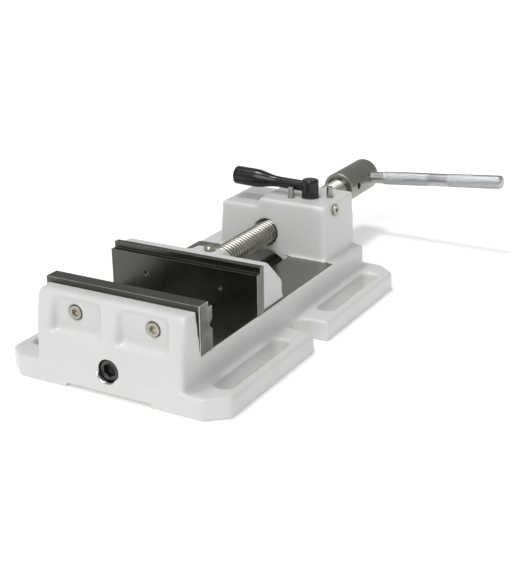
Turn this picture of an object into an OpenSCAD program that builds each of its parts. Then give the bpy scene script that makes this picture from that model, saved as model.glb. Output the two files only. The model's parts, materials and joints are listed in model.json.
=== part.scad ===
// Quick-action machine vise with 200 mm jaws.
// Frame: millimetres, +Z up, +X along the spindle from the fixed jaw to the crank.
// Origin: middle of the four clamping slots, on the underside of the base.

/* [Base] */
// Length of the base along the spindle
base_l = 455; // [430:1:560]
// Width over the two clamping flanges
base_w = 290; // [280:1:350]
// Thickness of the clamping flanges
flange_t = 25; // [20:1:28]
// Corner cut of a flange, along X
corner_x = 20; // [14:1:26]
// Corner cut of a flange, along Y
corner_y = 24; // [16:1:30]
// Width of the raised body between the flanges
body_w = 202; // [201:1:210]
// Width of the raised body at its front wall
front_w = 191; // [184:1:198]
// Height of the two ground slideways above the underside
bed_z = 56; // [54:0.1:68]
// Distance from the flange's front edge to the body's front wall
front_gap = 3; // [2:0.5:5]
// Length of flange behind the body
rear_lip = 16; // [12:1:24]
// Fillet between the body's sides and the flanges
foot_fillet = 7; // [5:0.5:8]
// Depth of the relief under the base
relief_z = 4.5; // [3:0.5:6]
// Width of the relief under the base
relief_w = 114; // [100:1:130]

/* [Slideways] */
// Width over the two slideways
slideway_w = 199; // [180:1:200]
// Width of the trough between the slideways
trough_w = 70; // [66:1:74]
// Height of the slideways over the painted rim beside them
slideway_lift = 1; // [0.6:0.1:1.5]
// Solid length of the base before the trough starts
front_block = 68; // [66:1:76]

/* [Clamping slots] */
// Width of a slot
slot_w = 22; // [18:1:24]
// Length of a slot, end to end
slot_l = 142; // [110:1:146]
// Distance between the slot centres along X
slot_dx = 242; // [230:1:250]
// Distance between the slot centres along Y
slot_dy = 244; // [240:1:248]
// Width of the open notch in the middle of each flange
notch_w = 33; // [28:1:36]

/* [Jaws] */
// Length of the jaw plates
jaw_w = 200; // [180:1:204]
// Height of the jaw plates
jaw_h = 57; // [54:0.5:62]
// Thickness of the fixed jaw plate
fixed_t = 25.5; // [22:0.5:28]
// Thickness of the movable jaw plate
moving_t = 15.2; // [14:0.2:18]
// Depth of the step along the top of both plates
step_x = 7.5; // [5:0.5:9]
// Height of the step along the top of both plates
step_z = 7.2; // [5:0.2:9]
// Height of the horizontal V groove in the fixed plate
vee_h = 13; // [10:0.5:15]
// Height of the V groove's middle above the slideways
vee_z = 29; // [26:0.5:32]
// Half width of the upright V groove in the fixed plate
upright_vee = 7; // [5:0.5:8]
// Opening between the jaws at rest
opening = 96.6; // [60:0.2:120]
// Height of the jaw screws above the slideways
screw_z = 27; // [24:0.5:30]
// Distance between the two jaw screws of a plate
screw_dy = 102; // [90:1:110]
// Height by which the jaw plates stand over the fixed casting
plate_proud = 6; // [3:0.5:8]
// Clearance of the movable jaw over the slideways
slide_gap = 0.05; // [0.02:0.01:0.1]
// Length of the movable jaw along its foot, plate left out
mover_l = 51; // [48:0.5:60]
// Length of the flat top of the movable jaw, plate left out
mover_top = 17.5; // [15:0.5:20]
// Height by which the plates stand over the movable casting
mover_proud = 2; // [1:0.5:4]

/* [Housing] */
// Length of the housing's foot along the spindle
housing_l = 87; // [84:0.5:96]
// Height of the raised pad over the slideways
pad_h = 70; // [66:0.5:80]
// Drop from the raised pad to the left part of the top
pad_drop = 10.6; // [8:0.2:14]
// Foot of the housing's right side, from the spindle
right_y = 88; // [86:0.5:94]
// Foot of the housing's left side, from the spindle
left_y = 69; // [64:0.5:80]
// Left edge of the raised pad, from the spindle
pad_y = 11.5; // [8:0.5:14]
// Draft of the housing's front and right faces, over its height
draft = 5; // [3:0.5:6]

/* [Spindle] */
// Major diameter of the trapezoidal thread
spindle_d = 30; // [25:0.5:36]
// Height of the spindle's axis above the slideways
spindle_z = 26; // [25:0.5:30]
// Diameter of the spindle's front journal
journal_d = 24; // [22:0.5:25]
// Diameter at the bottom of the retaining groove
groove_d = 20; // [18:0.5:21]
// Outer diameter of the crank hub
hub_d = 46; // [42:1:50]
// Length of the crank hub
hub_l = 90; // [80:1:96]
// Distance from the jaw's clamping face to the crank hub, along X
hub_reach = 414; // [405:1:430]
// Diameter of the handle bar's grip
bar_d = 19; // [16:0.5:20]
// Distance from the spindle's axis to the end of the handle bar
bar_reach = 221; // [180:1:240]
// Tilt of the handle bar above the horizontal, at rest
bar_tilt = 5.4; // [0:0.1:10]

/* [Guide rod] */
// Diameter of the guide rod
rod_d = 28; // [24:0.1:34]
// Height of the guide rod's axis above the underside
rod_z = 30; // [29:0.5:32]
// Diameter of the recess for the rod's screw in the front wall
rod_recess_d = 26; // [25:0.5:28]

/* [Quick release] */
// Position of the lever's axis behind the housing's front foot
lever_x = 40.5; // [38:0.5:44]
// Distance of the lever's axis to the right of the spindle
lever_y = 45.5; // [45:0.1:47]
// Diameter of the lever's hub
lever_hub_d = 22; // [20:0.5:24]
// Height of the lever's hub over the pad
lever_hub_h = 23; // [20:0.5:26]
// Diameter of the cam shaft
cam_shaft_d = 20; // [20:0.5:22]
// Diameter of the eccentric on the cam shaft
cam_d = 14.4; // [12:0.1:14.4]
// Offset of the eccentric from the lever's axis
cam_e = 2.53; // [2.2:0.01:2.6]
// Diameter of the cam shaft's lower journal
cam_foot_d = 12; // [10:0.5:14]
// Diameter of the lever's arm
arm_d = 14; // [12:0.5:15]
// Diameter of the lever's grip at its end
grip_d = 24; // [20:0.5:26]
// Distance from the lever's axis to the end of the grip
grip_reach = 108; // [98:1:114]
// Height of the lever's arm over the pad, at the hub
arm_h = 12.8; // [12:0.1:15]
// Rise of the lever's arm, in degrees
arm_rise = 2.2; // [0:0.1:5]
// Diameter of the two stop pins
pin_d = 8; // [7:0.5:9]
// Height of the stop pins over the pad
pin_h = 13.5; // [11:0.5:16]
// Distance of each stop pin from the lever's axis
pin_r = 24.9; // [24:0.1:27]
// Direction of the left stop pin from the lever's axis, in degrees
pin_angle = 119.4; // [112:0.1:125]

/* [Fits] */
// Radial clearance of a shaft that turns or slides in its bore
run_fit = 0.05; // [0.02:0.01:0.1]
// Clearance between parts that pass each other
pass_gap = 0.4; // [0.3:0.05:0.8]
// Radial clearance of a screw or pin in its own hole
seat_gap = 0.02; // [0.01:0.01:0.05]

/* [Hidden] */
$fn = 64;
eps = 0.01;

// Places along X, from the front of the base
front_x = -base_l / 2;
wall_x = front_x + front_gap;
plate_back_x = wall_x + 30.8;
fixed_face_x = plate_back_x + fixed_t;
moving_face_x = fixed_face_x + opening;
mover_x = moving_face_x + moving_t;
mover_rear_x = mover_x + mover_l;
body_rear_x = base_l / 2 - rear_lip;
housing_x = body_rear_x - housing_l;
hub_x = moving_face_x + hub_reach;
cam_x = housing_x + lever_x;

// Heights
rim_z = bed_z - slideway_lift;
jaw_top_z = bed_z + slide_gap + jaw_h;
fixed_top_z = bed_z + jaw_h - plate_proud;
mover_top_z = jaw_top_z - mover_proud;
pad_z = bed_z + pad_h;
low_top_z = pad_z - pad_drop;
axis_z = bed_z + spindle_z;
jaw_screw_z = bed_z + screw_z;

// Fixed casting above the body
front_lean = 9;
front_round = 4;
fixed_top_w = body_w - 9;
pocket_floor_x = wall_x + 14.5;
pocket_y0 = 10;
pocket_y1 = 77;
pocket_foot_z = 59;
pocket_head_z = fixed_top_z - 7;

// Jaw screws: M10 socket head cap screws
m10_d = 10;
m10_head_d = 16;
m10_head_h = 10;
m10_recess_d = 18;
m10_recess_deep = 11;
plate_skin = 2.2;
m10_hex = 8;

// Boss of the movable jaw round the spindle
boss_y0 = -32;
boss_y1 = 9;
boss_top_x = mover_x + 33.4;
boss_rear_x = mover_rear_x + 2;
boss_foot_z = axis_z + 9.5;
boss_barrel_d = 40;
tongue_gap = 0.25;
tongue_foot_z = 9;
journal_nose_x = mover_x + 11;
thrust_t = 4;
groove_x = mover_x + 24;
groove_w = 9.6;
keeper_d = 8;
keeper_y = -(groove_d / 2 + keeper_d / 2 + 0.1);
keeper_head_d = 14.5;
keeper_head_h = 5;

// Guide rod
rod_x0 = front_x + 46;
rod_x1 = body_rear_x - 2;
rod_screw_d = 16;
rod_screw_head_d = 24;
rod_screw_seat_x = front_x + 22;
rod_screw_l = 50;

// Bay for the half nut under the housing
bay_x0 = housing_x + 7;
bay_x1 = body_rear_x - 12;
bay_z = bed_z + 0.5;
cover_t = 4;
cover_gap = 0.5;
cover_screw_d = 5;
cover_screw_l = 11;
cover_head_d = 9;
cover_head_h = 3;
cover_screw_inset = 4.5;
cover_screw_y = 27;
nut_x0 = housing_x + 15;
nut_x1 = housing_x + 66;
nut_slide_gap = 0.15;
nut_face_y = -0.5;
spring_d = 5;
spring_wire = 1;
spring_rise = spindle_d / 2 + spring_d / 2 + 2;
nut_top_z = axis_z + spring_rise + 5;
spring_seat_y = 3.5;
spring_depth = 14;

// The lever rests against the left stop pin, and its swing ends at the right one
stop_gap = 0.3;
touch_angle = asin((arm_d / 2 + pin_d / 2 + stop_gap) / pin_r);
lever_angle = pin_angle - touch_angle;
arm_z = pad_z + arm_h;

// The eccentric's high side goes evenly from the left to the right of the swing
cam_angle = touch_angle;
nut_stroke = 2 * cam_e * cos(cam_angle);
nut_back_y = -lever_y + cam_e * cos(cam_angle) + cam_d / 2 + pass_gap + 0.1;
cam_foot_z = bed_z - 8;
stub_d = 12;
stub_l = 19;
taper_start = 46;
taper_end = 73;
tang_d = 8;
tang_end = grip_reach - 13;
arm_seat = 6.8;
pin_seat = 15.5;
grub_d = 5;
grub_l = (lever_hub_d - stub_d) / 2 - 0.6;
grub_z = pad_z + 9;

// Retaining screw of the cam shaft: M8 with a thinner tip, which runs in the shaft's groove
side_screw_d = 8;
side_tip_d = 5;
side_screw_head_d = 14;
side_screw_head_h = 4.5;
side_screw_z = pad_z - 10;
side_groove_d = 12;
side_screw_x = cam_x - side_groove_d / 2 - side_tip_d / 2 - 0.1;
side_seat_y = -(right_y - draft * 0.8 * (side_screw_z - bed_z) / pad_h) + 1;
side_tip_y = -lever_y - cam_shaft_d / 2 - 0.5;
side_end_y = -lever_y + 5;

// Crank hub and handle bar
hub_recess_d = 37;
hub_recess = 7;
hub_seat_d = 24;
hub_seat_l = 40;
bar_x = hub_x + hub_l - 20;
neck_d = bar_d - 2;
neck_end = 42;
grip1_end = 112;
grip2_start = 142;
set_screw_d = 10;
set_screw_x = hub_x + 22;
set_screw_angle = 5.4;

// Socket head cap screw along +X, head end at x = 0, hex socket open to -X
module cap_screw(d, l, head_d, head_h, hex, hex_deep) {
    difference() {
        union() {
            translate([-head_h, 0, 0]) rotate([0, 90, 0]) cylinder(d = head_d, h = head_h);
            rotate([0, 90, 0]) cylinder(d = d, h = l);
        }
        translate([-head_h - eps, 0, 0]) rotate([0, 90, 0])
            cylinder(r = hex / 2 / cos(30), h = hex_deep, $fn = 6);
    }
}

module along_x(x, y, z, d, l) {
    translate([x, y, z]) rotate([0, 90, 0]) cylinder(d = d, h = l);
}

// Extrudes an outline drawn in X and Z along Y, from y0 to y1
module side_outline(points, y0, y1) {
    translate([0, y1, 0]) rotate([90, 0, 0]) linear_extrude(y1 - y0) polygon(points);
}

// Extrudes an outline drawn in Y and Z along X, from x0 to x1
module end_outline(points, x0, x1) {
    translate([x0, 0, 0]) rotate([90, 0, 90]) linear_extrude(x1 - x0) polygon(points);
}

// Outline with a rounded end at each side, centred on the origin
module slot_shape(l, w) {
    union() {
        square([l - w, w], center = true);
        translate([(l - w) / 2, 0]) circle(d = w);
        translate([-(l - w) / 2, 0]) circle(d = w);
    }
}

module flange_plate() {
    hx = base_l / 2;
    hy = base_w / 2;
    linear_extrude(flange_t) polygon([
        [-hx, -hy + corner_y], [-hx + corner_x, -hy], [hx - corner_x, -hy], [hx, -hy + corner_y],
        [hx, hy - corner_y], [hx - corner_x, hy], [-hx + corner_x, hy], [-hx, hy - corner_y]
    ]);
}

// Concave fillet along a body side, s = 1 left, s = -1 right
module side_fillet(s) {
    r = foot_fillet;
    translate([wall_x, s * body_w / 2, flange_t]) rotate([90, 0, 90])
        linear_extrude(body_rear_x - wall_x) difference() {
            translate([s > 0 ? -1 : -r, -1]) square([r + 1, r + 1]);
            translate([s * r, r]) circle(r = r);
        }
}

// Outline seen from above: both sides taper towards the front wall
module front_taper(height) {
    wide = body_w / 2 + foot_fillet + 1;
    slope = (body_w - front_w) / 2 / (plate_back_x - wall_x);
    taper_x = wall_x + (wide - front_w / 2) / slope;
    linear_extrude(height) polygon([
        [wall_x, -front_w / 2], [taper_x, -wide], [body_rear_x, -wide],
        [body_rear_x, wide], [taper_x, wide], [wall_x, front_w / 2]
    ]);
}

module body_block() {
    intersection() {
        union() {
            side_outline([
                [wall_x, 0], [wall_x, rim_z], [body_rear_x, rim_z], [body_rear_x, 0]
            ], -body_w / 2, body_w / 2);
            for (s = [-1, 1])
                side_fillet(s);
        }
        front_taper(rim_z);
    }
}

module fixed_jaw_block() {
    intersection() {
        side_outline([
            [wall_x, bed_z - 8], [wall_x, bed_z + 4], [wall_x + front_lean, fixed_top_z - front_round],
            [wall_x + front_lean + front_round, fixed_top_z], [plate_back_x, fixed_top_z],
            [plate_back_x, bed_z - 8]
        ], -body_w / 2, body_w / 2);
        end_outline([
            [-body_w / 2, 0], [-body_w / 2, bed_z], [-fixed_top_w / 2, fixed_top_z],
            [fixed_top_w / 2, fixed_top_z], [body_w / 2, bed_z], [body_w / 2, 0]
        ], wall_x, plate_back_x);
        front_taper(fixed_top_z);
    }
}

// Recess in the front of the fixed casting, s = 1 left, s = -1 right
module front_pocket(s) {
    intersection() {
        side_outline([
            [wall_x - 5, pocket_foot_z - 3], [wall_x, pocket_foot_z], [pocket_floor_x, pocket_foot_z + 7],
            [pocket_floor_x, pocket_head_z], [wall_x - 5, pocket_head_z + 5]
        ], -body_w / 2, body_w / 2);
        linear_extrude(fixed_top_z) polygon([
            [wall_x - 5, s * (pocket_y0 - 3)], [pocket_floor_x, s * (pocket_y0 + 4)],
            [pocket_floor_x, s * (pocket_y1 - 4)], [wall_x - 5, s * (pocket_y1 + 3)]
        ]);
    }
}

module slideways() {
    for (s = [-1, 1])
        translate([plate_back_x - eps, s > 0 ? trough_w / 2 : -slideway_w / 2, rim_z - 1])
            cube([housing_x - plate_back_x + 2 * eps, (slideway_w - trough_w) / 2, slideway_lift + 1]);
    translate([plate_back_x - eps, -slideway_w / 2, rim_z - 1])
        cube([front_x + front_block - plate_back_x, slideway_w, slideway_lift + 1]);
}

module housing_block() {
    d_right = draft * 0.8;
    d_left = draft * 0.6;
    intersection() {
        side_outline([
            [housing_x, rim_z - 6], [housing_x, bed_z], [housing_x + draft, pad_z],
            [body_rear_x, pad_z], [body_rear_x, rim_z - 6]
        ], -right_y, left_y);
        end_outline([
            [-right_y, 0], [-right_y, bed_z], [-right_y + d_right, pad_z],
            [pad_y, pad_z], [pad_y + 1.5, low_top_z], [left_y - d_left, low_top_z],
            [left_y, bed_z], [left_y, 0]
        ], housing_x - 1, body_rear_x + 1);
    }
}

// Trough between the slideways, with an arched roof where it enters the housing
module trough() {
    translate([front_x + front_block, -trough_w / 2, -1])
        cube([housing_x - front_x - front_block + eps, trough_w, bed_z + 2]);
    arch_r = 38;
    translate([housing_x - eps, 0, 0]) intersection() {
        translate([0, -trough_w / 2, -1]) cube([bay_x0 - housing_x + 2 * eps, trough_w, bed_z + 20]);
        translate([0, 0, bed_z + 2.5 - arch_r]) union() {
            rotate([0, 90, 0]) cylinder(r = arch_r, h = bay_x0 - housing_x + 2 * eps, $fn = 96);
            translate([0, -trough_w / 2, -arch_r]) cube([bay_x0 - housing_x + 2 * eps, trough_w, arch_r + 14]);
        }
    }
    translate([bay_x0, -trough_w / 2, -1]) cube([bay_x1 - bay_x0, trough_w, bay_z + 1]);
}

// Cored hollows under the slideways, open at the underside
module cored_hollows() {
    wall = 12;
    inner = trough_w / 2 + wall;
    outer = body_w / 2 - wall;
    for (s = [-1, 1])
        translate([front_x + front_block, s > 0 ? inner : -outer, -1])
            cube([bay_x1 - front_x - front_block, outer - inner, bed_z - 15]);
}

module jaw_plate_holes(x0, x1, d) {
    for (s = [-1, 1])
        along_x(x0, s * screw_dy / 2, jaw_screw_z, d, x1 - x0);
}

module base_casting() {
    color([0.83, 0.84, 0.82]) difference() {
        union() {
            flange_plate();
            body_block();
            fixed_jaw_block();
            slideways();
            housing_block();
        }
        trough();
        cored_hollows();
        translate([-base_l, -relief_w / 2, -1]) cube([2 * base_l, relief_w, relief_z + 1]);
        for (sx = [-1, 1], sy = [-1, 1])
            translate([sx * slot_dx / 2, sy * slot_dy / 2, -1])
                linear_extrude(flange_t + foot_fillet + 2) slot_shape(slot_l, slot_w);
        for (s = [-1, 1])
            translate([0, s * slot_dy / 2, -1]) {
                cylinder(d = notch_w, h = flange_t + foot_fillet + 2);
                translate([-notch_w / 2, s > 0 ? 0 : -base_w, 0])
                    cube([notch_w, base_w, flange_t + foot_fillet + 2]);
            }
        for (s = [-1, 1])
            front_pocket(s);
        // Jaw screws
        jaw_plate_holes(wall_x, plate_back_x + 1, m10_d + 1);
        jaw_plate_holes(pocket_floor_x - 1, pocket_floor_x + m10_recess_deep, m10_recess_d);
        // Guide rod and its screw
        along_x(front_x - 1, 0, rod_z, rod_recess_d, rod_screw_seat_x - front_x + 1);
        along_x(front_x, 0, rod_z, rod_screw_d + 1, rod_x0 - front_x + 1);
        along_x(rod_x0, 0, rod_z, rod_d + 2 * run_fit, body_rear_x + 1 - rod_x0);
        // Spindle bore, with a wider rim at the front
        along_x(housing_x - 1, 0, axis_z, spindle_d + 2 * pass_gap, housing_l + 2);
        along_x(housing_x - 1, 0, axis_z, spindle_d + 5, 13);
        // Room for the half nut, whose springs seat on the left wall
        translate([nut_x0, nut_back_y - nut_stroke - 1.5, bay_z - 1])
            cube([
                nut_x1 - nut_x0, spring_seat_y - nut_back_y + nut_stroke + 1.5, nut_top_z + 0.5 - bay_z + 1
            ]);
        // Cam shaft and its lower journal
        translate([cam_x, -lever_y, bay_z]) cylinder(d = cam_shaft_d + 2 * run_fit, h = pad_h + 1);
        translate([cam_x, -lever_y, cam_foot_z]) cylinder(d = cam_foot_d + 2 * run_fit, h = pad_h);
        // Retaining screw of the cam shaft
        translate([side_screw_x, side_tip_y, side_screw_z]) rotate([90, 0, 0])
            cylinder(d = side_screw_d + 2 * seat_gap, h = right_y);
        translate([side_screw_x, side_end_y + 1, side_screw_z]) rotate([90, 0, 0])
            cylinder(d = side_tip_d + 2 * seat_gap, h = right_y / 2);
        translate([side_screw_x, side_seat_y, side_screw_z]) rotate([90, 0, 0])
            cylinder(d = side_screw_head_d + 1.5, h = 10);
        stop_pin_places() translate([0, 0, -pin_seat - 0.5]) cylinder(d = pin_d + 2 * seat_gap, h = 20);
        cover_screw_places() translate([0, 0, -1])
            cylinder(d = cover_screw_d + 2 * seat_gap, h = cover_screw_l + 2);
    }
}

// Places of the stop pins, on the pad
module stop_pin_places() {
    for (a = [pin_angle, pin_angle + 180])
        translate([cam_x + pin_r * cos(a), -lever_y + pin_r * sin(a), pad_z]) children();
}

// Places of the bay cover's screws, at the roof of the bay
module cover_screw_places() {
    for (x = [bay_x0 + cover_screw_inset, bay_x1 - cover_screw_inset], s = [-1, 1])
        translate([x, s * cover_screw_y, bay_z]) children();
}

module fixed_jaw_plate() {
    top = bed_z + jaw_h;
    foot = bed_z;
    vz = bed_z + vee_z;
    color([0.24, 0.25, 0.23]) difference() {
        side_outline([
            [plate_back_x, foot], [plate_back_x, top], [fixed_face_x - step_x, top],
            [fixed_face_x - step_x, top - step_z], [fixed_face_x, top - step_z],
            [fixed_face_x, vz + vee_h / 2], [fixed_face_x - vee_h / 2, vz],
            [fixed_face_x, vz - vee_h / 2], [fixed_face_x, foot]
        ], -jaw_w / 2, jaw_w / 2);
        // Upright V groove across the clamping face
        linear_extrude(top + 1) polygon([
            [fixed_face_x + 1, -upright_vee - 1], [fixed_face_x + 1, upright_vee + 1],
            [fixed_face_x - upright_vee, 0]
        ]);
        jaw_plate_holes(plate_back_x - 1, plate_back_x + 14, m10_d + 2 * seat_gap);
    }
}

module fixed_jaw_screws() {
    color([0.62, 0.6, 0.56])
        for (s = [-1, 1])
            translate([pocket_floor_x + m10_recess_deep, s * screw_dy / 2, jaw_screw_z])
                cap_screw(m10_d, plate_back_x + 13 - pocket_floor_x - m10_recess_deep,
                    m10_head_d, m10_head_h, m10_hex, 5);
}

module guide_rod() {
    color([0.6, 0.6, 0.58]) difference() {
        along_x(rod_x0, 0, rod_z, rod_d, rod_x1 - rod_x0);
        along_x(rod_x0 - 1, 0, rod_z, rod_screw_d + 2 * seat_gap, 31);
    }
}

module guide_rod_screw() {
    color([0.12, 0.12, 0.12]) translate([rod_screw_seat_x, 0, rod_z])
        cap_screw(rod_screw_d, rod_screw_l, rod_screw_head_d, rod_screw_d, 14, 8);
}

module stop_pins() {
    chamfer = 0.8;
    color([0.7, 0.7, 0.68]) stop_pin_places() {
        translate([0, 0, -pin_seat]) cylinder(d = pin_d, h = pin_seat + pin_h - chamfer);
        translate([0, 0, pin_h - chamfer]) cylinder(d1 = pin_d, d2 = pin_d - 2 * chamfer, h = chamfer);
    }
}

module cam_retaining_screw() {
    color([0.72, 0.71, 0.68]) translate([side_screw_x, side_seat_y, side_screw_z]) rotate([-90, 0, 0])
        difference() {
            union() {
                cylinder(d = side_screw_d, h = side_tip_y - 0.5 - side_seat_y);
                cylinder(d = side_tip_d, h = side_end_y - side_seat_y);
                translate([0, 0, -side_screw_head_h]) cylinder(d = side_screw_head_d, h = side_screw_head_h);
            }
            translate([0, 0, -side_screw_head_h - eps]) cylinder(r = 2.5 / cos(30), h = 3, $fn = 6);
        }
}

module nut_spring_places() {
    for (s = [-1, 1])
        translate([(nut_x0 + nut_x1) / 2, spring_seat_y, axis_z + s * spring_rise]) rotate([90, 0, 0]) children();
}

module nut_springs() {
    length = spring_seat_y + spring_depth - 0.2;
    color([0.6, 0.6, 0.6]) nut_spring_places() difference() {
        cylinder(d = spring_d, h = length);
        translate([0, 0, -1]) cylinder(d = spring_d - 2 * spring_wire, h = length + 2);
    }
}

module nut_cover() {
    color([0.5, 0.5, 0.48]) difference() {
        translate([bay_x0 + cover_gap, -trough_w / 2 + cover_gap, bay_z - cover_t])
            cube([bay_x1 - bay_x0 - 2 * cover_gap, trough_w - 2 * cover_gap, cover_t]);
        cover_screw_places() translate([0, 0, -cover_t - 1]) cylinder(d = cover_screw_d + 0.6, h = cover_t + 2);
    }
}

module nut_cover_screws() {
    color([0.3, 0.3, 0.3]) cover_screw_places() translate([0, 0, -cover_t]) difference() {
        union() {
            translate([0, 0, -cover_head_h]) cylinder(d = cover_head_d, h = cover_head_h);
            cylinder(d = cover_screw_d, h = cover_t + cover_screw_l);
        }
        translate([0, 0, -cover_head_h - eps]) cylinder(r = 1.5 / cos(30), h = 2, $fn = 6);
    }
}

module half_nut() {
    foot = bay_z + nut_slide_gap;
    color([0.62, 0.5, 0.3]) difference() {
        translate([nut_x0 + nut_slide_gap, nut_back_y, foot])
            cube([nut_x1 - nut_x0 - 2 * nut_slide_gap, nut_face_y - nut_back_y, nut_top_z - foot]);
        along_x(nut_x0 - 1, 0, axis_z, spindle_d + 0.6, nut_x1 - nut_x0 + 2);
        nut_spring_places() cylinder(d = spring_d + 0.6, h = spring_seat_y + spring_depth);
    }
}

module cam_shaft() {
    groove_h = side_tip_d + 0.6;
    color([0.45, 0.45, 0.44]) translate([cam_x, -lever_y, 0]) difference() {
        union() {
            translate([0, 0, cam_foot_z + 0.2]) cylinder(d = cam_foot_d, h = bay_z - cam_foot_z - 0.1);
            translate([cam_e * sin(cam_angle), cam_e * cos(cam_angle), bay_z])
                cylinder(d = cam_d, h = nut_top_z - bay_z + 1);
            translate([0, 0, nut_top_z + 0.5]) cylinder(d = cam_shaft_d, h = pad_z - nut_top_z - 0.5);
            translate([0, 0, pad_z - 1]) cylinder(d = stub_d, h = stub_l + 1);
        }
        // Groove for the retaining screw
        translate([0, 0, side_screw_z - groove_h / 2]) difference() {
            cylinder(d = cam_shaft_d + 2, h = groove_h);
            translate([0, 0, -1]) cylinder(d = side_groove_d, h = groove_h + 2);
        }
    }
}

module lever_frame() {
    translate([cam_x, -lever_y, 0]) rotate([0, 0, lever_angle]) children();
}

// Frame of the arm: +Z out along the arm, from the lever's axis
module arm_frame() {
    lever_frame() translate([0, 0, arm_z]) rotate([0, 90 - arm_rise, 0]) children();
}

module lever_hub() {
    chamfer = 2;
    color([0.07, 0.07, 0.07]) difference() {
        lever_frame() difference() {
            union() {
                translate([0, 0, pad_z + stop_gap])
                    cylinder(d = lever_hub_d, h = lever_hub_h - chamfer - stop_gap);
                translate([0, 0, pad_z + lever_hub_h - chamfer])
                    cylinder(d1 = lever_hub_d, d2 = lever_hub_d - 2 * chamfer, h = chamfer);
            }
            translate([0, 0, pad_z]) cylinder(d = stub_d + 2 * seat_gap, h = stub_l + 0.5);
        }
        arm_frame() translate([0, 0, arm_seat - 0.3]) cylinder(d = arm_d + 2 * seat_gap, h = lever_hub_d);
        grub_frame() cylinder(d = grub_d + 2 * seat_gap, h = lever_hub_d);
    }
}

module lever_arm() {
    color([0.07, 0.07, 0.07]) arm_frame() {
        translate([0, 0, arm_seat]) cylinder(d = arm_d, h = taper_start - arm_seat);
        translate([0, 0, taper_start - 1]) cylinder(d = tang_d, h = tang_end - taper_start + 1);
    }
}

module lever_grip() {
    r0 = arm_d / 2;
    r1 = grip_d / 2;
    start = taper_start + 0.1;
    color([0.06, 0.06, 0.06]) arm_frame() difference() {
        rotate_extrude() polygon([
            [0, start], [r0, start], [r0 + 0.6, taper_start + 7], [r1 - 1.2, taper_end], [r1, taper_end + 10],
            [r1, grip_reach - 2.5], [r1 - 0.8, grip_reach - 0.8], [r1 - 2.5, grip_reach], [0, grip_reach]
        ]);
        cylinder(d = tang_d + 2 * seat_gap, h = tang_end + 0.5);
    }
}

// Frame of the grub screw: +Z out of the hub's right side, from the cam shaft's stub
module grub_frame() {
    translate([cam_x, -lever_y, grub_z]) rotate([90, 0, 12]) translate([0, 0, stub_d / 2]) children();
}

module lever_grub_screw() {
    color([0.1, 0.1, 0.1]) grub_frame() translate([0, 0, 0.1]) difference() {
        cylinder(d = grub_d, h = grub_l);
        translate([0, 0, grub_l - 2]) cylinder(r = 1.25 / cos(30), h = 3, $fn = 6);
    }
}

module mover_profile(y0, y1, top_x, rear_x, slope_z) {
    foot = bed_z + slide_gap;
    side_outline([
        [mover_x, foot], [mover_x, mover_top_z], [top_x, mover_top_z],
        [rear_x, slope_z], [rear_x, foot]
    ], y0, y1);
}

module movable_jaw() {
    color([0.83, 0.84, 0.82]) difference() {
        union() {
            mover_profile(-jaw_w / 2 + 3, jaw_w / 2 - 3, mover_x + mover_top, mover_rear_x, bed_z + 23);
            mover_profile(boss_y0, boss_y1, boss_top_x, boss_rear_x, boss_foot_z);
            along_x(mover_x + 8, 0, axis_z, boss_barrel_d, boss_rear_x - mover_x - 8);
            translate([mover_x, -trough_w / 2 + tongue_gap, tongue_foot_z])
                cube([boss_rear_x - mover_x, trough_w - 2 * tongue_gap, bed_z - tongue_foot_z + 4]);
        }
        // Journal of the spindle, with the hardened disc at its blind end
        along_x(journal_nose_x - thrust_t, 0, axis_z, journal_d + 2 * run_fit, mover_l);
        // Keeper screw beside the spindle's groove
        translate([groove_x, keeper_y, axis_z - 12]) cylinder(d = keeper_d + 2 * seat_gap, h = 60);
        // Guide rod
        along_x(mover_x - 1, 0, rod_z, rod_d + 2 * run_fit, mover_l + 20);
        // Jaw screws and their pockets, open to the rear
        jaw_plate_holes(mover_x - 1, mover_x + 30, m10_d + 1);
        jaw_plate_holes(mover_x + 12, mover_rear_x + 1, m10_recess_d + 4);
    }
}

module movable_jaw_plate() {
    top = jaw_top_z;
    foot = bed_z + slide_gap;
    color([0.24, 0.25, 0.23]) difference() {
        side_outline([
            [mover_x, foot], [mover_x, top], [moving_face_x + step_x, top],
            [moving_face_x + step_x, top - step_z], [moving_face_x, top - step_z], [moving_face_x, foot]
        ], -jaw_w / 2, jaw_w / 2);
        jaw_plate_holes(moving_face_x - 1, mover_x + 1, 6);
        jaw_plate_holes(moving_face_x + plate_skin, mover_x + 1, m10_d + 2 * seat_gap);
    }
}

module movable_jaw_screws() {
    color([0.62, 0.6, 0.56])
        for (s = [-1, 1])
            translate([mover_x + 12, s * screw_dy / 2, jaw_screw_z]) rotate([0, 0, 180])
                cap_screw(m10_d, mover_x + 12 - moving_face_x - plate_skin - 0.4,
                    m10_head_d, m10_head_h, m10_hex, 5);
}

module spindle_keeper_screw() {
    color([0.75, 0.75, 0.72]) translate([groove_x, keeper_y, 0]) {
        translate([0, 0, axis_z - 10]) cylinder(d = keeper_d, h = mover_top_z - axis_z + 10);
        translate([0, 0, mover_top_z]) cylinder(d = keeper_head_d, h = keeper_head_h - 2);
        translate([0, 0, mover_top_z + keeper_head_h - 2])
            cylinder(d1 = keeper_head_d, d2 = keeper_head_d - 5, h = 2);
    }
}

module thrust_disc() {
    color([0.4, 0.4, 0.42]) along_x(journal_nose_x - thrust_t, 0, axis_z, journal_d, thrust_t);
}

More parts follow.
